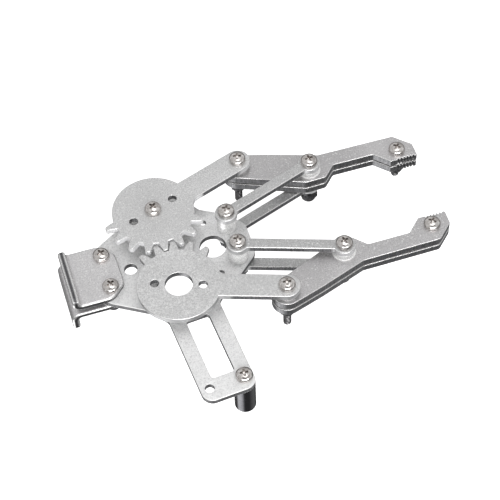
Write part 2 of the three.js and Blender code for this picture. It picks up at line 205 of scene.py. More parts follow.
def area2(loop):
    return sum(
        loop[i - 1].x * loop[i].y - loop[i].x * loop[i - 1].y for i in range(len(loop))
    )


def mirror_y(loop):
    return [Vector((p.x, -p.y)) for p in loop]


def placed(loop, angle, at):
    c, s = math.cos(rad(angle)), math.sin(rad(angle))
    return [Vector((at.x + c * p.x - s * p.y, at.y + s * p.x + c * p.y)) for p in loop]


# ----------------------------------------------------------------------------
# Meshes
# ----------------------------------------------------------------------------
def inset(loop, d):
    """The loop moved by d towards its left side, corners mitred."""
    n = len(loop)
    out = []
    for i in range(n):
        a, p, b = loop[i - 1], loop[i], loop[(i + 1) % n]
        u, v = (p - a).normalized(), (b - p).normalized()
        n1, n2 = Vector((-u.y, u.x)), Vector((-v.y, v.x))
        m = n1 + n2
        k = m.dot(n1)
        out.append(p + m * (d / max(k, 0.35)))
    return out


def plate_bmesh(outline, holes, z0, z1, bevel=0.28, hole_bevel=0.16, seg=3):
    """Plate with rounded edges: outer loop counter-clockwise, holes clockwise, so left is inside the metal."""
    bm = bmesh.new()
    loops = [(clean(outline), bevel, True)] + [
        (clean(h), hole_bevel, False) for h in holes
    ]
    top_edges, bottom_edges = [], []
    for loop, b, outer in loops:
        if (area2(loop) > 0) != outer:
            loop = list(reversed(loop))
        rings = []
        for k in range(seg + 1):
            q = math.pi / 2 * k / seg
            rings.append((b * (1 - math.sin(q)), z0 + b * (1 - math.cos(q))))
        rings += [(d, z0 + z1 - z) for d, z in reversed(rings)]
        made = []
        for d, z in rings:
            ring = inset(loop, d) if d > 1e-6 else loop
            made.append([bm.verts.new((p.x * MM, p.y * MM, z * MM)) for p in ring])
        n = len(loop)
        for r0, r1 in zip(made, made[1:]):
            for i in range(n):
                bm.faces.new((r0[i], r0[(i + 1) % n], r1[(i + 1) % n], r1[i]))
        bottom_edges += [
            bm.edges.get((made[0][i], made[0][(i + 1) % n])) for i in range(n)
        ]
        top_edges += [
            bm.edges.get((made[-1][i], made[-1][(i + 1) % n])) for i in range(n)
        ]
    for edges in (bottom_edges, top_edges):
        bmesh.ops.triangle_fill(bm, use_beauty=True, use_dissolve=False, edges=edges)
    bmesh.ops.recalc_face_normals(bm, faces=bm.faces[:])
    return bm


def turned_bmesh(profile, n=64):
    """Closed solid of revolution about Z from a closed or axis-to-axis (r, z) profile in millimetres."""
    bm = bmesh.new()
    rings = []
    for r, z in profile:
        if r < 1e-6:
            rings.append([bm.verts.new((0, 0, z * MM))])
        else:
            rings.append(
                [
                    bm.verts.new(
                        (
                            r * MM * math.cos(2 * math.pi * i / n),
                            r * MM * math.sin(2 * math.pi * i / n),
                            z * MM,
                        )
                    )
                    for i in range(n)
                ]
            )
    closed = len(rings[0]) > 1
    pairs = list(zip(rings, rings[1:]))
    if closed:
        pairs.append((rings[-1], rings[0]))
    for a, b in pairs:
        for i in range(n):
            j = (i + 1) % n
            if len(a) == 1 and len(b) == 1:
                continue
            if len(a) == 1:
                bm.faces.new((a[0], b[i], b[j]))
            elif len(b) == 1:
                bm.faces.new((a[i], b[0], a[j]))
            else:
                bm.faces.new((a[i], b[i], b[j], a[j]))
    bmesh.ops.recalc_face_normals(bm, faces=bm.faces[:])
    return bm


def finish_mesh(bm, name, sharp=35):
    me = bpy.data.meshes.new(name)
    bm.to_mesh(me)
    bm.free()
    me.shade_smooth()
    me.set_sharp_from_angle(angle=rad(sharp))
    me.update()
    return me


def add_piece(name, me, material, node, at=(0, 0, 0), turn=0.0, weighted=True):
    ob = bpy.data.objects.new(name, me)
    bpy.context.scene.collection.objects.link(ob)
    ob.location = Vector(at) * MM
    ob.rotation_euler = (0, 0, rad(turn))
    if me.materials:
        me.materials[0] = material
    else:
        me.materials.append(material)
    if weighted:
        wn = ob.modifiers.new("weighted", "WEIGHTED_NORMAL")
        wn.mode = "FACE_AREA"
        wn.weight = 50
        wn.keep_sharp = True
    bpy.context.view_layer.update()
    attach(ob, NODE_BODY[node])
    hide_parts(node)
    return ob


# ----------------------------------------------------------------------------
# Materials
# ----------------------------------------------------------------------------
class Nodes:
    """Short hand for building a node tree."""

    def __init__(self, name):
        self.m = bpy.data.materials.new(name)
        self.m.use_nodes = True
        self.t = self.m.node_tree
        self.t.nodes.clear()
        self.out = self.t.nodes.new("ShaderNodeOutputMaterial")
        self.bsdf = self.t.nodes.new("ShaderNodeBsdfPrincipled")
        self.link(self.bsdf.outputs["BSDF"], self.out.inputs["Surface"])
        self.coords = self.t.nodes.new("ShaderNodeTexCoord").outputs["Object"]
        self.plain = self.coords

    def link(self, a, b):
        self.t.links.new(a, b)

    def put(self, socket, value):
        if hasattr(value, "is_linked") or isinstance(value, bpy.types.NodeSocket):
            self.link(value, socket)
        else:
            socket.default_value = value

    def math(self, op, a, b=None, c=None, clamp=False):
        n = self.t.nodes.new("ShaderNodeMath")
        n.operation = op
        n.use_clamp = clamp
        self.put(n.inputs[0], a)
        if b is not None:
            self.put(n.inputs[1], b)
        if c is not None:
            self.put(n.inputs[2], c)
        return n.outputs[0]

    def noise(self, scale, detail=2.0, rough=0.5, vector=None, distortion=0.0):
        n = self.t.nodes.new("ShaderNodeTexNoise")
        self.link(vector or self.coords, n.inputs["Vector"])
        n.inputs["Scale"].default_value = scale
        n.inputs["Detail"].default_value = detail
        n.inputs["Roughness"].default_value = rough
        n.inputs["Distortion"].default_value = distortion
        return n.outputs["Fac"]

    def voronoi(self, scale, vector=None):
        n = self.t.nodes.new("ShaderNodeTexVoronoi")
        self.link(vector or self.coords, n.inputs["Vector"])
        n.inputs["Scale"].default_value = scale
        return n.outputs["Color"], n.outputs["Distance"]

    def stretched(self, sx, sy, sz):
        n = self.t.nodes.new("ShaderNodeMapping")
        self.link(self.coords, n.inputs["Vector"])
        n.inputs["Scale"].default_value = (sx, sy, sz)
        return n.outputs["Vector"]

    def ramp(self, fac, stops):
        n = self.t.nodes.new("ShaderNodeValToRGB")
        self.link(fac, n.inputs["Fac"])
        cr = n.color_ramp
        while len(cr.elements) < len(stops):
            cr.elements.new(0.5)
        for e, (pos, col) in zip(cr.elements, stops):
            e.position = pos
            e.color = (
                (col[0], col[1], col[2], 1)
                if hasattr(col, "__len__")
                else (col, col, col, 1)
            )
        return n.outputs["Color"]

    def mapped(self, value, a, b, c, d):
        n = self.t.nodes.new("ShaderNodeMapRange")
        n.clamp = True
        self.link(value, n.inputs["Value"])
        for s, v in zip(("From Min", "From Max", "To Min", "To Max"), (a, b, c, d)):
            n.inputs[s].default_value = v
        return n.outputs["Result"]

    def mix(self, fac, a, b, blend="MIX"):
        n = self.t.nodes.new("ShaderNodeMix")
        n.data_type = "RGBA"
        n.blend_type = blend
        self.put(n.inputs["Factor"], fac)
        for s, v in ((n.inputs[6], a), (n.inputs[7], b)):
            if isinstance(v, bpy.types.NodeSocket):
                self.link(v, s)
            else:
                s.default_value = (*v, 1) if len(v) == 3 else v
        return n.outputs[2]

    def attribute(self, name):
        n = self.t.nodes.new("ShaderNodeAttribute")
        n.attribute_type = "GEOMETRY"
        n.attribute_name = name
        return n.outputs["Fac"]

    def ring_zone(self, cx, cy, r0, r1):
        """1 between two radii about a vertical axis, millimetres, in the piece's own frame."""
        s = self.t.nodes.new("ShaderNodeSeparateXYZ")
        self.link(self.plain, s.inputs[0])
        dx = self.math("SUBTRACT", s.outputs["X"], cx * MM)
        dy = self.math("SUBTRACT", s.outputs["Y"], cy * MM)
        d = self.math(
            "SQRT",
            self.math("ADD", self.math("MULTIPLY", dx, dx), self.math("MULTIPLY", dy, dy)),
        )
        inner = self.mapped(d, (r0 - 0.3) * MM, (r0 + 0.3) * MM, 0, 1)
        outer = self.mapped(d, (r1 - 0.5) * MM, (r1 + 0.5) * MM, 1, 0)
        return self.math("MULTIPLY", inner, outer)

    def up(self):
        """How far the surface faces up or down, 0 to 1."""
        g = self.t.nodes.new("ShaderNodeNewGeometry")
        s = self.t.nodes.new("ShaderNodeSeparateXYZ")
        self.link(g.outputs["Normal"], s.inputs[0])
        return self.math("ABSOLUTE", s.outputs["Z"])

    def bump(self, height, strength, distance, normal=None):
        n = self.t.nodes.new("ShaderNodeBump")
        self.link(height, n.inputs["Height"])
        n.inputs["Strength"].default_value = strength
        n.inputs["Distance"].default_value = distance
        if normal is not None:
            self.link(normal, n.inputs["Normal"])
        return n.outputs["Normal"]

    def set(self, name, value):
        self.put(self.bsdf.inputs[name], value)


def sheet_metal(
    name,
    seed,
    tint=(0.80, 0.80, 0.81),
    rough=0.40,
    side_shade=0.17,
    metal=0.88,
    zones=(),
    lay=False,
    bright_wall_metal=0.30,
):
    """Aluminium sheet finished by bead blasting, with painted highlights on the bevelled edges and painted
    shade on the sheared side faces.
    """
    n = Nodes(name)
    shift = n.t.nodes.new("ShaderNodeMapping")
    n.link(n.coords, shift.inputs["Vector"])
    shift.inputs["Location"].default_value = (seed * 0.013, seed * 0.029, seed * 0.007)
    n.coords = shift.outputs["Vector"]
    up = n.attribute("lay") if lay else n.up()
    flat = n.mapped(up, 0.93, 0.995, 0, 1)
    side = n.mapped(up, 0.10, 0.30, 1, 0)
    grain = n.noise(2500, 2, 0.65)
    fine = n.noise(7000, 1, 0.5)
    cloud = n.noise(55, 3, 0.55)
    cells, _ = n.voronoi(2600)
    speck = n.t.nodes.new("ShaderNodeSeparateColor")
    n.link(cells, speck.inputs[0])
    glint = n.mapped(speck.outputs[0], 0.90, 1.0, 0, 1)
    dull = n.mapped(speck.outputs[1], 0.86, 1.0, 0, 1)
    base = n.ramp(
        grain,
        [
            (0.30, [c * 0.66 for c in tint]),
            (0.50, tint),
            (0.70, [min(1, c * 1.30) for c in tint]),
        ],
    )
    blotch = n.noise(950, 2, 0.6)
    base = n.mix(n.mapped(blotch, 0.35, 0.68, 0.0, 0.42), base, [c * 0.80 for c in tint])
    base = n.mix(n.mapped(cloud, 0.42, 0.72, 0.0, 0.55), base, [c * 0.80 for c in tint])
    base = n.mix(n.mapped(cloud, 0.45, 0.25, 0.0, 0.45), base, [min(0.97, c * 1.18) for c in tint])
    base = n.mix(n.math("MULTIPLY", glint, 0.55), base, (0.97, 0.97, 0.96))
    base = n.mix(n.math("MULTIPLY", dull, 0.40), base, (0.52, 0.51, 0.52))
    # the side faces: vertical streaks left by the cutter, over a painted shade that makes every side face
    # darker than the top
    streak = n.noise(1, 3, 0.6, n.stretched(2600, 2600, 260))
    sides_painted_light = n.ramp(
        streak,
        [
            (0.3, (side_shade * 0.62, side_shade * 0.62, side_shade * 0.65)),
            (0.7, (side_shade * 1.35, side_shade * 1.35, side_shade * 1.39)),
        ],
    )
    bright_wall_zone = None
    # painted reflection: inside each zone the side faces get a lighter colour
    for cx, cy, r0, r1, shade in zones:
        zone = n.ring_zone(cx, cy, r0, r1)
        sides_painted_light = n.mix(zone, sides_painted_light, (shade, shade, shade * 1.01))
        bright_wall_zone = zone if bright_wall_zone is None else n.math("MAXIMUM", bright_wall_zone, zone)
    # painted shade on the side faces, with painted reflections inside the zones, replaces the top colour there
    base = n.mix(side, base, sides_painted_light)
    # painted highlight: the bevel faces between top and side are mixed towards near-white, broken up by noise
    edge = n.math("SUBTRACT", 1.0, n.math("MAXIMUM", flat, side), clamp=True)
    edge_highlight_break = n.noise(420, 3, 0.6)
    edge_highlight_fac = n.math("MULTIPLY", edge, n.mapped(edge_highlight_break, 0.3, 0.6, 0.50, 0.85))
    base = n.mix(edge_highlight_fac, base, (0.90, 0.90, 0.895))
    n.set("Base Color", base)
    # inside the zones the side faces are made less metallic, so that they look lit
    if bright_wall_zone is None:
        n.set("Metallic", metal)
    else:
        matt = n.math("MULTIPLY", n.math("MULTIPLY", bright_wall_zone, side), metal - bright_wall_metal)
        n.set("Metallic", n.math("SUBTRACT", metal, matt))
    r = n.mapped(n.noise(1900, 2, 0.5), 0.3, 0.7, rough - 0.07, rough + 0.09)
    r = n.math("ADD", r, n.mapped(cloud, 0.3, 0.7, -0.03, 0.05))
    r = n.math("SUBTRACT", r, n.math("MULTIPLY", edge, 0.13))
    n.set("Roughness", n.math("SUBTRACT", r, n.math("MULTIPLY", side, 0.05)))
    h = n.math("ADD", n.math("MULTIPLY", grain, 0.7), n.math("MULTIPLY", fine, 0.3))
    b1 = n.bump(h, 0.55, 0.00006)
    b2 = n.bump(n.math("MULTIPLY", streak, side), 0.5, 0.00008, b1)
    n.set("Normal", b2)
    return n.m


def plated_screw(name):
    """Nickel plate over steel: bright, slightly warm, with tarnish and driver marks."""
    n = Nodes(name)
    warm = n.noise(900, 3, 0.6, distortion=0.4)
    fine = n.noise(5200, 2, 0.6)
    base = n.ramp(
        warm,
        [
            (0.28, (0.36, 0.335, 0.32)),
            (0.5, (0.62, 0.59, 0.57)),
            (0.72, (0.90, 0.88, 0.865)),
        ],
    )
    # the shank below the head is coloured darker
    sep = n.t.nodes.new("ShaderNodeSeparateXYZ")
    n.link(n.coords, sep.inputs[0])
    shank = n.mapped(sep.outputs["Z"], -0.0016, -0.0008, 1, 0)
    base = n.mix(n.math("MULTIPLY", shank, 0.9), base, (0.10, 0.10, 0.105))
    n.set("Base Color", base)
    n.set("Metallic", 1.0)
    n.set("Roughness", n.mapped(fine, 0.3, 0.7, 0.09, 0.20))
    scratch = n.noise(1, 3, 0.55, n.stretched(5200, 700, 1800))
    b = n.bump(fine, 0.25, 0.00004)
    n.set("Normal", n.bump(scratch, 0.22, 0.00005, b))
    return n.m


def oxide_nut(name, low=(0.022, 0.022, 0.025), high=(0.075, 0.074, 0.078), rough=0.34):
    """Black oxide on steel, rubbed brighter in places."""
    n = Nodes(name)
    cloud = n.noise(700, 4, 0.6)
    fine = n.noise(4800, 2, 0.6)
    base = n.ramp(cloud, [(0.3, low), (0.62, high), (0.8, [c * 1.9 for c in high])])
    n.set("Base Color", base)
    n.set("Metallic", 0.85)
    n.set("Roughness", n.mapped(fine, 0.3, 0.7, rough - 0.08, rough + 0.12))
    n.set("Normal", n.bump(fine, 0.35, 0.00004))
    return n.m


def turned_ring(name):
    """Bright turned aluminium: fine rings left by the tool."""
    n = Nodes(name)
    rings = n.noise(1, 2, 0.7, n.stretched(120, 120, 7600))
    grain = n.noise(4200, 2, 0.6)
    base = n.ramp(rings, [(0.3, (0.78, 0.78, 0.78)), (0.7, (0.94, 0.94, 0.93))])
    base = n.mix(n.mapped(grain, 0.4, 0.75, 0, 0.35), base, (0.60, 0.59, 0.58))
    n.set("Base Color", base)
    n.set("Metallic", 0.35)
    n.set("Roughness", n.mapped(grain, 0.3, 0.7, 0.20, 0.36))
    b = n.bump(rings, 0.30, 0.00004)
    n.set("Normal", n.bump(grain, 0.2, 0.00003, b))
    return n.m


def dark_post(name):
    """Dark anodised post, satin, with faint turning marks."""
    n = Nodes(name)
    rings = n.noise(1, 2, 0.7, n.stretched(90, 90, 5200))
    cloud = n.noise(260, 3, 0.6)
    base = n.ramp(rings, [(0.3, (0.07, 0.07, 0.078)), (0.7, (0.15, 0.15, 0.162))])
    base = n.mix(n.mapped(cloud, 0.4, 0.75, 0, 0.4), base, (0.20, 0.20, 0.215))
    n.set("Base Color", base)
    n.set("Metallic", 1.0)
    n.set("Roughness", n.mapped(n.noise(3000, 2, 0.5), 0.3, 0.7, 0.16, 0.26))
    n.set("Normal", n.bump(rings, 0.28, 0.00004))
    return n.m


_fx, _fy = LINK_PIVOT["left"]
_bx, _by = BASE["left"]
_ax, _ay = ARM_PIVOT["left"]
# painted reflection: zones where the walls around the link eyes are coloured lighter
EYES = [
    (x, sy * y, 0.0, LINK_EYE_R + 0.5, 0.62)
    for x, y in ((_bx, _by), (_fx, _fy))
    for sy in (1, -1)
]
SHEET_MATS = {
    "palm": sheet_metal("sheet_palm", 1, (0.92, 0.92, 0.92), 0.45, 0.13, metal=0.50),
    "gear_a": sheet_metal(
        "sheet_driven",
        2,
        (0.74, 0.74, 0.74),
        0.44,
        0.26,
        # painted reflection on the tooth walls and on the walls around the arm pivot hole
        zones=[
            (DRIVEN.x, DRIVEN.y, DISC_R - 0.3, TIP_R + 0.6, 0.80),
            (_ax, _ay, 2.5, 4.6, 0.6),
        ],
    ),
    "gear_b": sheet_metal(
        "sheet_drive",
        3,
        (0.73, 0.73, 0.73),
        0.44,
        0.26,
        # painted reflection on the tooth walls and on the walls around the arm pivot hole
        zones=[
            (DRIVE.x, DRIVE.y, DISC_R - 0.3, TIP_R + 0.6, 0.50),
            (_ax, -_ay, 2.5, 4.6, 0.5),
        ],
        bright_wall_metal=0.75,
    ),
    "finger": sheet_metal("sheet_finger", 4, (0.60, 0.59, 0.595), 0.38, 0.21),
    "link": sheet_metal("sheet_link", 5, (0.585, 0.585, 0.585), 0.42, 0.21, zones=EYES, bright_wall_metal=0.62),
    "bracket": sheet_metal(
        "sheet_bracket", 6, (0.75, 0.74, 0.745), 0.36, 0.12, lay=True
    ),
}
SCREW_MAT = plated_screw("screw_nickel")
NUT_MAT = oxide_nut("nut_oxide")
RING_MAT = turned_ring("ring_bright")
POST_MAT = dark_post("post_dark")


# ----------------------------------------------------------------------------
# Plates
# ----------------------------------------------------------------------------
def z_of(node):
    lo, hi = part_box(node)
    return lo.z / MM, hi.z / MM


def palm_loops():
    sa = rad(-90 + SERVO_ARM_SLANT)
    ux, uy = math.cos(sa), math.sin(sa)
    px, py = -uy, ux

    def at(along, across):
        return (
            SERVO_ARM_X + ux * along + px * across,
            -GEAR_AXIS_Y + uy * along + py * across,
        )

    l0, l1 = at(6.5, -SERVO_ARM_HALF_W), at(SERVO_ARM_END, -SERVO_ARM_HALF_W)
    r1, r0 = at(SERVO_ARM_END, SERVO_ARM_HALF_W), at(6.0, SERVO_ARM_HALF_W)
    outline = rounded(
        [
            (-22.4, -8.4, 2.0),
            (-20.0, -10.5, 2.5),
            (-10.0, -16.6, 3.0),
            (*l0, 3.0),
            (*l1, 3.4),
            (*r1, 3.4),
            (*r0, 2.0),
            (14.6, -15.3, 3.0),
            (19.6, -12.3, 3.0),
            (26.6, -6.0, 5.4),
            (26.6, 6.0, 5.4),
            (19.6, 12.3, 3.0),
            (14.6, 15.2, 3.0),
            (9.5, 22.6, 5.0),
            (-4.5, 22.6, 5.0),
            (-10.0, 16.6, 3.0),
            (-20.0, 10.5, 2.5),
            (-22.4, 8.4, 2.0),
        ]
    )
    w = SERVO_SLOT_HALF_W
    slot = rounded(
        [(*at(8.6, -w), 1.0), (*at(30, -w), 1.0), (*at(30, w), 1.0), (*at(8.6, w), 1.0)]
    )
    h1 = at(SERVO_HOLE_REACH, -SERVO_HOLE_PITCH / 2)
    h2 = at(SERVO_HOLE_REACH, SERVO_HOLE_PITCH / 2)
    holes = [
        circle(1.5, -12.0, 8.0, 72),
        slot,
        circle(-11.45, 0, 2.0),
        circle(14.6, 0.3, 4.1, 64),
        circle(14.2, 9.9, 1.0, 32),
        circle(14.2, -9.9, 1.0, 32),
        circle(DRIVEN.x, DRIVEN.y, HOLE_R),
        circle(BASE["left"].x, BASE["left"].y, HOLE_R),
        circle(BASE["right"].x, BASE["right"].y, HOLE_R),
        circle(BRACKET_SCREW_X, BRACKET_SCREW_Y, HOLE_R),
        circle(BRACKET_SCREW_X, -BRACKET_SCREW_Y, HOLE_R),
        circle(*h1, HOLE_R),
        circle(*h2, HOLE_R),
    ]
    return outline, holes


def gear_arm_loops(tooth_angles, bored):
    hr, hp, ht = 6.6, 4.6, 2.3
    pts = arc(ARM_LEN, 0, ARM_HALF_W, -90, 90, 6)
    meet = math.degrees(math.asin(ARM_HALF_W / DISC_R))
    teeth = sorted(tooth_angles, reverse=True)
    first = teeth[-1] + 360
    pts += arc(0, 0, DISC_R, meet, first - hr, 3)
    polar = lambda r, a: Vector((r * math.cos(rad(a)), r * math.sin(rad(a))))
    for c in reversed(teeth):
        c += 360
        pts.append(polar(DISC_R, c - hr))
        pts.append(polar(PITCH_R - 0.9, c - hp - 0.75))
        pts.append(polar(PITCH_R - 0.2, c - hp))
        pts.append(polar(PITCH_R + 0.55, c - hp + 1.25))
        pts.append(polar(TIP_R - 0.25, c - ht - 0.6))
        pts.append(polar(TIP_R, c - ht + 0.8))
        pts.append(polar(TIP_R, c + ht - 0.8))
        pts.append(polar(TIP_R - 0.25, c + ht + 0.6))
        pts.append(polar(PITCH_R + 0.55, c + hp - 1.25))
        pts.append(polar(PITCH_R - 0.2, c + hp))
        pts.append(polar(PITCH_R - 0.9, c + hp + 0.75))
        pts.append(polar(DISC_R, c + hr))
    last = teeth[0] + 360 + hr
    fr = 2.6
    fx = math.sqrt((DISC_R + fr) ** 2 - (ARM_HALF_W + fr) ** 2)
    fa = math.degrees(math.atan2(-(ARM_HALF_W + fr), fx)) + 360
    pts += arc(0, 0, DISC_R, last, fa, 3)
    pts += arc(fx, -(ARM_HALF_W + fr), fr, fa - 180, 90, 6)
    holes = [
        circle(ARM_LEN, 0, HOLE_R),
        circle(HORN_SCREW_R, 0, HORN_SCREW_HOLE_R, 40),
        circle(-HORN_SCREW_R, 0, HORN_SCREW_HOLE_R, 40),
        circle(0, 0, HORN_BORE_R, 72) if bored else circle(0, 0, HOLE_R),
    ]
    return pts, holes


def finger_loops():
    fp = Vector((-LINK_PIVOT_X, GEAR_AXIS_Y - LINK_PIVOT_Y))
    r = 4.65
    a_out = math.degrees(math.atan2(0.947, 0.322))
    a_in = math.degrees(math.atan2(-0.927, -0.374))
    face = []
    y0, depth, x0, x1, cuts = -4.9, 0.5, 27.6, 33.6, 6
    pitch = (x1 - x0) / cuts
    for i in range(cuts):
        a = x0 + i * pitch
        face += [
            (a + 0.28 * pitch, y0, 0),
            (a + 0.42 * pitch, y0 + depth, 0),
            (a + 0.72 * pitch, y0 + depth, 0),
            (a + 0.86 * pitch, y0, 0),
        ]
    body = rounded(
        [
            (-10, -1.1, 0.0),
            (-2.2, -4.45, 3.0),
            (4.2, -4.3, 1.6),
            (7.9, -0.45, 1.0),
            (21.2, -0.5, 0.8),
            (25.6, -4.9, 0.5),
            *face,
            (34.4, -4.9, 0.7),
            (34.35, -0.2, 0.9),
            (29.4, 4.6, 1.4),
            (4.6, 4.85, 1.5),
            (-10, 9.95, 0),
        ],
        8,
    )
    pts = body + arc(fp.x, fp.y, r, a_out, a_in + 360, 5)
    holes = [
        circle(fp.x, fp.y, HOLE_R),
        circle(0, 0, HOLE_R),
        circle(28.8, -1.2, HOLE_R),
    ]
    return pts, holes


def link_loops():
    a = math.degrees(math.asin((LINK_W / 2) / LINK_EYE_R))
    pts = arc(0, 0, LINK_EYE_R, a, 360 - a, 6) + arc(
        ARM_LEN, 0, LINK_EYE_R, 180 + a, 540 - a, 6
    )
    return pts, [circle(0, 0, HOLE_R), circle(ARM_LEN, 0, HOLE_R)]


def plate_piece(
    node, outline, holes, material, angle=0.0, at=Vector((0, 0)), mirror=False, **kw
):
    if mirror:
        outline, holes = mirror_y(outline), [mirror_y(h) for h in holes]
    outline = placed(outline, angle, at)
    holes = [placed(h, angle, at) for h in holes]
    z0, z1 = z_of(node)
    me = finish_mesh(plate_bmesh(outline, holes, z0, z1, **kw), "vis_" + node)
    return add_piece("vis_" + node, me, material, node)


outline, holes = palm_loops()
plate_piece("palm_plate", outline, holes, SHEET_MATS["palm"])

left_teeth = [-31 - TOOTH_STEP * k - ARM_ANGLE for k in range(8)]
right_teeth = [-41 - TOOTH_STEP * k - ARM_ANGLE for k in range(5)]
outline, holes = gear_arm_loops(left_teeth, False)
plate_piece(
    "driven_gear_arm", outline, holes, SHEET_MATS["gear_a"], ARM_ANGLE, DRIVEN
)
outline, holes = gear_arm_loops(right_teeth, True)
plate_piece(
    "drive_gear_arm",
    outline,
    holes,
    SHEET_MATS["gear_b"],
    -ARM_ANGLE,
    DRIVE,
    mirror=True,
)
for side, sign in (("left", 1), ("right", -1)):
    for level in ("upper", "lower"):
        outline, holes = finger_loops()
        plate_piece(
            f"{side}_finger_{level}_plate",
            outline,
            holes,
            SHEET_MATS["finger"],
            0,
            LINK_PIVOT[side],
            mirror=sign < 0,
            bevel=0.22,
        )
        outline, holes = link_loops()
        plate_piece(
            f"{side}_{level}_link",
            outline,
            holes,
            SHEET_MATS["link"],
            sign * ARM_ANGLE,
            BASE[side],
            mirror=sign < 0,
        )


def bracket_mesh(back, flange_h, corner_r):
    """A flat blank with rounded edges, bent up at the back."""
    xb = back + 3.4  # bend starts here
    bend_len, flange_len = 3.5, flange_h - 2.9
    blank = rounded(
        [
            (xb - bend_len - flange_len, -BRACKET_HALF_W, corner_r),
            (-19.2, -BRACKET_HALF_W, 4.4),
            (-14.7, -5.6, 2.6),
            (-14.7, 5.6, 2.6),
            (-19.2, BRACKET_HALF_W, 4.4),
            (xb - bend_len - flange_len, BRACKET_HALF_W, corner_r),
        ]
    )
    holes = [
        circle(BRACKET_SCREW_X, BRACKET_SCREW_Y, HOLE_R),
        circle(BRACKET_SCREW_X, -BRACKET_SCREW_Y, HOLE_R),
    ]
    bm = plate_bmesh(blank, holes, 0, SHEET, bevel=0.68, seg=5)
    for k in range(0, 13):
        x = (xb - bend_len * k / 12) * MM
        bmesh.ops.bisect_plane(
            bm,
            geom=bm.verts[:] + bm.edges[:] + bm.faces[:],
            plane_co=(x, 0, 0),
            plane_no=(1, 0, 0),
            dist=1e-8,
        )
    bm.normal_update()
    lay = bm.faces.layers.float.new("lay")
    for f in bm.faces:
        f[lay] = abs(f.normal.z)
    for v in bm.verts:
        x, z = v.co.x / MM, v.co.z / MM
        d = xb - x
        if d <= 0:
            continue
        w = z / SHEET
        if d <= bend_len:
            q = d / bend_len
            a = rad(90 * q)
            inner = (xb - 1.2 * math.sin(a), SHEET + 1.2 - 1.2 * math.cos(a))
            travel = q * (0.8 + 2.6 * math.pi / 2)
            if travel <= 0.8:
                outer = (xb - travel, 0.0)
            else:
                b = (travel - 0.8) / 2.6
                outer = (xb - 0.8 - 2.6 * math.sin(b), 2.6 - 2.6 * math.cos(b))
        else:
            q = (d - bend_len) / flange_len
            inner = (back + 2.2, 3.2 + q * (flange_h - 3.2))
            outer = (back, 2.6 + q * (flange_h - 2.6))
        v.co.x = (outer[0] * (1 - w) + inner[0] * w) * MM
        v.co.z = (outer[1] * (1 - w) + inner[1] * w) * MM
    bmesh.ops.recalc_face_normals(bm, faces=bm.faces[:])
    return bm


for node, flip in (("upper_rear_bracket", False), ("lower_rear_bracket", True)):
    if flip:
        bm = bracket_mesh(LOWER_BACK_X, LOWER_FLANGE_H, 1.3)
    else:
        bm = bracket_mesh(BRACKET_BACK_X, FLANGE_H, 1.7)
    z0, z1 = z_of(node)
    if flip:
        bmesh.ops.rotate(
            bm, cent=(0, 0, 0), matrix=Matrix.Rotation(math.pi, 3, "X"), verts=bm.verts
        )
        bmesh.ops.translate(bm, vec=(0, 0, z1 * MM), verts=bm.verts)
    else:
        bmesh.ops.translate(bm, vec=(0, 0, z0 * MM), verts=bm.verts)
    me = finish_mesh(bm, "vis_" + node)
    add_piece("vis_" + node, me, SHEET_MATS["bracket"], node)


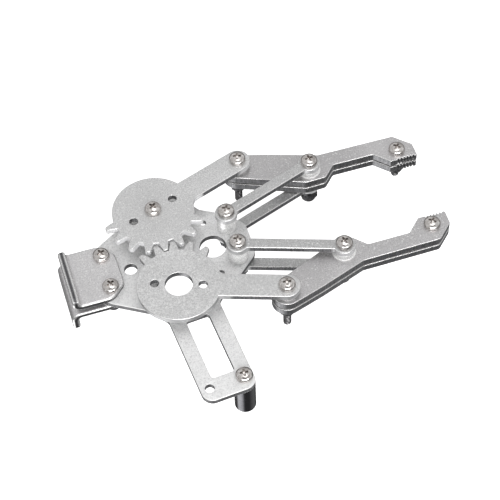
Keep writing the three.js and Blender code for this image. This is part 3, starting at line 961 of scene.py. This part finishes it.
# ----------------------------------------------------------------------------
# Fasteners
# ----------------------------------------------------------------------------
def screw_mesh(length, thread):
    """Pan head with a cross recess, plain neck and a real helical thread. z = 0 under the head."""
    n = 32
    bm = bmesh.new()
    pitch, minor = 0.45, SCREW_R - 0.24
    rows = []
    # from the shank's end up to the head
    steps = int(thread / pitch * 6)
    rows.append(("cone", -length, minor - 0.28))
    rows.append(("cone", -length + 0.10, minor - 0.12))
    for k in range(steps + 1):
        z = -length + 0.30 + (thread - 0.3) * k / steps
        rows.append(("thread", z, None))
    rows.append(("cone", -length + thread + 0.25, SCREW_R - 0.05))
    rows.append(("cone", -0.12, SCREW_R - 0.05))
    rows.append(("cone", 0.0, SCREW_R + 0.02))
    for r, z in (
        (HEAD_R - 0.16, 0.0),
        (HEAD_R - 0.04, 0.06),
        (HEAD_R, 0.18),
        (HEAD_R, 0.74),
        (HEAD_R - 0.05, 0.98),
        (HEAD_R - 0.19, 1.25),
        (HEAD_R - 0.45, 1.51),
        (HEAD_R - 0.80, 1.74),
        (HEAD_R - 1.25, 1.92),
        (HEAD_R - 1.78, 2.04),
        (0.35, HEAD_H),
    ):
        rows.append(("cone", z, r))
    rings = []
    for kind, z, r in rows:
        ring = []
        for i in range(n):
            a = 2 * math.pi * i / n
            rr = r
            if kind == "thread":
                ph = (z / pitch - a / (2 * math.pi)) % 1.0
                tri = 1 - abs(2 * ph - 1)
                tri = min(1.0, max(0.0, tri * 1.35 - 0.15))
                rr = minor + (SCREW_R - minor) * tri
                start = (z + length) / 0.9
                rr = minor - 0.12 + (rr - minor + 0.12) * min(1.0, 0.35 + start)
            ring.append(
                bm.verts.new((rr * math.cos(a) * MM, rr * math.sin(a) * MM, z * MM))
            )
        rings.append(ring)
    for r0, r1 in zip(rings, rings[1:]):
        for i in range(n):
            j = (i + 1) % n
            bm.faces.new((r0[i], r0[j], r1[j], r1[i]))
    for ring, z in ((rings[0], -length), (rings[-1], HEAD_H)):
        c = bm.verts.new((0, 0, z * MM))
        for i in range(n):
            bm.faces.new((ring[i], ring[(i + 1) % n], c))
    bmesh.ops.recalc_face_normals(bm, faces=bm.faces[:])
    me = bpy.data.meshes.new("screw_blank")
    bm.to_mesh(me)
    bm.free()
    body = bpy.data.objects.new("screw_blank", me)
    bpy.context.scene.collection.objects.link(body)

    # cross-shaped driver, tapered
    cb = bmesh.new()
    top, deep = HEAD_H + 0.3, HEAD_H - 1.25
    half, wing = 0.34, 1.22
    plan = [
        (wing, -half),
        (wing, half),
        (half, half),
        (half, wing),
        (-half, wing),
        (-half, half),
        (-wing, half),
        (-wing, -half),
        (-half, -half),
        (-half, -wing),
        (half, -wing),
        (half, -half),
    ]
    levels = [(1.13, top), (0.95, HEAD_H - 0.35), (0.62, deep + 0.12)]
    made = []
    for s, z in levels:
        row = []
        for x, y in plan:
            sx = x * s if abs(x) > half else x * (0.8 + 0.2 * s)
            sy = y * s if abs(y) > half else y * (0.8 + 0.2 * s)
            row.append(cb.verts.new((sx * MM, sy * MM, z * MM)))
        made.append(row)
    m = len(plan)
    for r0, r1 in zip(made, made[1:]):
        for i in range(m):
            cb.faces.new((r0[i], r0[(i + 1) % m], r1[(i + 1) % m], r1[i]))
    cb.faces.new(made[0])
    tipv = cb.verts.new((0, 0, (deep - 0.1) * MM))
    for i in range(m):
        cb.faces.new((made[-1][i], made[-1][(i + 1) % m], tipv))
    bmesh.ops.recalc_face_normals(cb, faces=cb.faces[:])
    cme = bpy.data.meshes.new("driver")
    cb.to_mesh(cme)
    cb.free()
    cut = bpy.data.objects.new("driver", cme)
    bpy.context.scene.collection.objects.link(cut)
    mod = body.modifiers.new("recess", "BOOLEAN")
    mod.operation = "DIFFERENCE"
    mod.solver = "EXACT"
    mod.object = cut
    bpy.context.view_layer.update()
    dg = bpy.context.evaluated_depsgraph_get()
    out = bpy.data.meshes.new_from_object(body.evaluated_get(dg))
    bpy.data.objects.remove(body)
    bpy.data.objects.remove(cut)
    out.shade_smooth()
    out.set_sharp_from_angle(angle=rad(32))
    return out


def nut_mesh():
    """Locking nut: bevelled hexagon with a domed collar below. z = 0 at the top face, hanging down."""
    n = 96
    bore = SCREW_R + 0.1

    def hexr(a):
        q = math.degrees(a) % 60
        q = q - 60 if q > 30 else q
        return NUT_AF / 2 / math.cos(rad(q))

    rows = [
        (0.0, 2.36, False),
        (-0.05, 2.46, False),
        (-0.30, 9.0, True),
        (-2.30, 9.0, True),
        (-2.54, 2.46, True),
        (-2.60, 2.36, False),
        (-2.68, 2.28, False),
        (-3.16, 2.24, False),
        (-3.46, 2.10, False),
        (-3.66, 1.86, False),
        (-3.77, 1.62, False),
        (-NUT_H, 1.42, False),
        (-3.76, bore, False),
        (-2.9, bore, False),
        (-0.12, bore, False),
        (0.0, bore + 0.12, False),
    ]
    bm = bmesh.new()
    rings = []
    for z, r, is_hex in rows:
        ring = []
        for i in range(n):
            a = 2 * math.pi * i / n
            rr = min(r, hexr(a)) if r > 2.3 or is_hex else r
            # the chamfer meets the flats in a curve
            if z == -0.30 or z == -2.30:
                rr = min(hexr(a), 2.86)
            ring.append(
                bm.verts.new((rr * math.cos(a) * MM, rr * math.sin(a) * MM, z * MM))
            )
        rings.append(ring)
    for r0, r1 in zip(rings, rings[1:] + rings[:1]):
        for i in range(n):
            j = (i + 1) % n
            bm.faces.new((r0[i], r0[j], r1[j], r1[i]))
    bmesh.ops.recalc_face_normals(bm, faces=bm.faces[:])
    return finish_mesh(bm, "nut", 28)


def ring_mesh(ro, h, ri, grooves=()):
    """Turned ring with broken edges; grooves are split lines at these heights. z = 0 at the bottom."""
    c = min(0.14, h * 0.3)
    prof = [(ri + c, 0), (ro - c, 0), (ro - c * 0.3, c * 0.3), (ro, c)]
    for g in grooves:
        prof += [(ro, g - 0.13), (ro - 0.16, g), (ro, g + 0.13)]
    prof += [
        (ro, h - c),
        (ro - c * 0.3, h - c * 0.3),
        (ro - c, h),
        (ri + c, h),
        (ri, h - c),
        (ri, c),
    ]
    return finish_mesh(turned_bmesh(prof, 56), "ring", 40)


def footed_mesh(ro, h, ri):
    """Spacer with a wide foot: a narrow collar over a plain washer."""
    prof = [
        (ri + 0.1, 0),
        (ro - 0.12, 0),
        (ro - 0.03, 0.04),
        (ro, 0.13),
        (ro, 0.42),
        (ro - 0.03, 0.51),
        (ro - 0.12, 0.55),
        (2.62, 0.55),
        (2.50, 0.60),
        (2.48, 0.70),
        (2.59, 0.78),
        (2.60, 0.86),
        (2.60, h - 0.14),
        (2.56, h - 0.04),
        (2.46, h),
        (ri + 0.1, h),
        (ri, h - 0.1),
        (ri, 0.1),
    ]
    return finish_mesh(turned_bmesh(prof, 64), "footed", 40)


screw_cache = {}
nut_me = nut_mesh()
turns = 0
for node in sorted(NODE_BODY):
    lo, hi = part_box(node)
    cx, cy = (lo.x + hi.x) / 2 / MM, (lo.y + hi.y) / 2 / MM
    z0, z1 = lo.z / MM, hi.z / MM
    if node == "servo_standoff":
        r, h = 3.2, z1 - z0
        prof = [
            (1.75, 0),
            (r - 0.35, 0),
            (r - 0.12, 0.10),
            (r, 0.34),
            (r, h - 0.34),
            (r - 0.10, h - 0.10),
            (r - 0.30, h),
            (1.45, h),
            (1.4, h - 0.1),
            (1.4, 0.35),
        ]
        me = finish_mesh(turned_bmesh(prof, 80), "vis_" + node, 40)
        add_piece("vis_" + node, me, POST_MAT, node, (cx, cy, z0))
    elif node.endswith("_screw"):
        length = round(z1 - z0 - HEAD_H, 2)
        if length not in screw_cache:
            screw_cache[length] = screw_mesh(length, min(length - 1.0, 9.0))
        turns += 1
        add_piece(
            "vis_" + node,
            screw_cache[length].copy(),
            SCREW_MAT,
            node,
            (cx, cy, z1 - HEAD_H),
            (turns * 37) % 90,
        )
    elif node.endswith("_nut"):
        add_piece("vis_" + node, nut_me.copy(), NUT_MAT, node, (cx, cy, z1))
    elif node.endswith(("_spacer", "_washer", "_shim")):
        ro, h = (hi.x - lo.x) / 2 / MM, z1 - z0
        grooves = ()
        if h > 4:
            grooves = (h * 0.36,)
        if node.endswith("link_pivot_spacer"):
            me = footed_mesh(ro, h, HOLE_R)
        else:
            me = ring_mesh(ro, h, HOLE_R, grooves)
        me.name = "vis_" + node
        add_piece("vis_" + node, me, RING_MAT, node, (cx, cy, z0))
    elif node.endswith("_collar"):
        ro, h = (hi.x - lo.x) / 2 / MM, z1 - z0
        me = ring_mesh(ro, h, HOLE_R, ())
        me.name = "vis_" + node
        add_piece("vis_" + node, me, NUT_MAT, node, (cx, cy, z0))

# the finer arcs stand a hair proud of the faceted part: bring them inside its boxes
for node in sorted(NODE_BODY):
    ob = bpy.data.objects["vis_" + node]
    lo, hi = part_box(node)
    to_world = ob.matrix_world.copy()
    to_local = to_world.inverted()
    for v in ob.data.vertices:
        w = to_world @ v.co
        c = Vector([min(max(w[i], lo[i]), hi[i]) for i in range(3)])
        if (c - w).length > 1e-9:
            v.co = to_local @ c
    ob.data.update()

# ----------------------------------------------------------------------------
# Floor, light and camera
# ----------------------------------------------------------------------------
FLOOR_Z = cad_box[0][2] - 0.0002
bm = bmesh.new()
bmesh.ops.create_grid(bm, x_segments=1, y_segments=1, size=6.0)
me = bpy.data.meshes.new("floor")
bm.to_mesh(me)
bm.free()
floor = bpy.data.objects.new("floor", me)
bpy.context.scene.collection.objects.link(floor)
floor.location = (0, 0, FLOOR_Z)
floor.visible_glossy = False
fm = bpy.data.materials.new("floor_white")
fm.use_nodes = True
t = fm.node_tree
t.nodes.clear()
o = t.nodes.new("ShaderNodeOutputMaterial")
add = t.nodes.new("ShaderNodeAddShader")
em = t.nodes.new("ShaderNodeEmission")
em.inputs["Color"].default_value = (1, 1, 1, 1)
em.inputs["Strength"].default_value = 0.85
df = t.nodes.new("ShaderNodeBsdfDiffuse")
df.inputs["Color"].default_value = (0.8, 0.8, 0.8, 1)
t.links.new(em.outputs[0], add.inputs[0])
t.links.new(df.outputs[0], add.inputs[1])
t.links.new(add.outputs[0], o.inputs["Surface"])
me.materials.append(fm)

world = bpy.data.worlds.new("studio")
bpy.context.scene.world = world
world.use_nodes = True
t = world.node_tree
t.nodes.clear()
wo = t.nodes.new("ShaderNodeOutputWorld")
bg = t.nodes.new("ShaderNodeBackground")
tc = t.nodes.new("ShaderNodeTexCoord")
sep = t.nodes.new("ShaderNodeSeparateXYZ")
t.links.new(tc.outputs["Generated"], sep.inputs[0])
ramp = t.nodes.new("ShaderNodeValToRGB")
mr = t.nodes.new("ShaderNodeMapRange")
mr.inputs["From Min"].default_value = -1
mr.inputs["From Max"].default_value = 1
t.links.new(sep.outputs["Z"], mr.inputs["Value"])
t.links.new(mr.outputs[0], ramp.inputs["Fac"])
stops = [
    (0.00, 0.10),
    (0.30, 0.14),
    (0.48, 0.24),
    (0.53, 0.62),
    (0.70, 0.72),
    (0.86, 0.66),
    (0.94, 0.86),
    (1.00, 0.92),
]
cr = ramp.color_ramp
while len(cr.elements) < len(stops):
    cr.elements.new(0.5)
for e, (p, c) in zip(cr.elements, stops):
    e.position = p
    e.color = (c, c, c * 1.005, 1)


def world_math(op, a, b, clamp=False):
    n = t.nodes.new("ShaderNodeMath")
    n.operation = op
    n.use_clamp = clamp
    for s, v in zip(n.inputs, (a, b)):
        if isinstance(v, bpy.types.NodeSocket):
            t.links.new(v, s)
        else:
            s.default_value = v
    return n.outputs[0]


def world_range(value, a, b, c, d):
    n = t.nodes.new("ShaderNodeMapRange")
    n.interpolation_type = "SMOOTHSTEP"
    t.links.new(value, n.inputs["Value"])
    for s, v in zip(("From Min", "From Max", "To Min", "To Max"), (a, b, c, d)):
        n.inputs[s].default_value = v
    return n.outputs["Result"]


# a dark gap between the overhead and the front boxes
near_gap = world_math(
    "ADD",
    world_math("MULTIPLY", sep.outputs["Y"], -0.40),
    world_math("MULTIPLY", sep.outputs["Z"], 0.917),
)
gap = world_range(near_gap, 0.90, 0.96, 1.0, 0.30)
# the pale table in front of the claw, as polished pieces see it
low = world_math(
    "MULTIPLY",
    world_range(sep.outputs["Z"], -0.78, -0.60, 1.0, 0.0),
    world_range(sep.outputs["Y"], 0.0, 0.25, 1.0, 0.0),
)
side_on = world_range(sep.outputs["X"], -0.44, -0.20, 2.4, 0.03)
far_side = world_range(sep.outputs["X"], 0.22, 0.45, 0.0, 0.22)
strip = world_math("ADD", side_on, far_side)
level = world_math(
    "ADD",
    world_math("MULTIPLY", ramp.outputs["Color"], gap),
    world_math("MULTIPLY", low, strip),
)
t.links.new(level, bg.inputs["Color"])
bg.inputs["Strength"].default_value = 0.95
t.links.new(bg.outputs[0], wo.inputs["Surface"])


def area_light(name, direction, distance, size, power):
    """Soft box in that direction from the claw, facing it."""
    d = Vector(direction).normalized()
    target = Vector((0.025, -0.008, 0))
    light = bpy.data.lights.new(name, "AREA")
    light.shape = "RECTANGLE"
    light.size, light.size_y = size
    light.energy = power
    ob = bpy.data.objects.new(name, light)
    bpy.context.scene.collection.objects.link(ob)
    ob.location = target + d * distance
    ob.rotation_euler = d.to_track_quat("Z", "Y").to_euler()
    return ob


area_light("key_front", (-0.10, -1.0, 0.55), 0.9, (1.0, 0.30), 5.5)
area_light("overhead", (0.1, -0.1, 1.0), 0.9, (0.5, 0.5), 1.2)

AZ, EL, ROLL = -1.844746, 0.948045, -0.037146
DIST, FOCAL_PX = 0.472266, 1576.2599
TARGET = Vector((0.0236417, -0.0092879, 0.00678))
back = Vector(
    (math.cos(EL) * math.cos(AZ), math.cos(EL) * math.sin(AZ), math.sin(EL))
)
x0 = Vector((0, 0, 1)).cross(back).normalized()
y0 = back.cross(x0)
cx_ = x0 * math.cos(ROLL) + y0 * math.sin(ROLL)
cy_ = -x0 * math.sin(ROLL) + y0 * math.cos(ROLL)
cam = bpy.data.cameras.new("camera")
cam.sensor_width = 36.0
cam.lens = FOCAL_PX / 500 * 36.0
cam.clip_start = 0.01
cam.clip_end = 50
camera = bpy.data.objects.new("camera", cam)
bpy.context.scene.collection.objects.link(camera)
rot = Matrix((cx_, cy_, back)).transposed()
camera.matrix_world = Matrix.Translation(TARGET + back * DIST) @ rot.to_4x4()
bpy.context.scene.camera = camera

bpy.context.scene.view_settings.view_transform = "Standard"

bpy.context.view_layer.update()
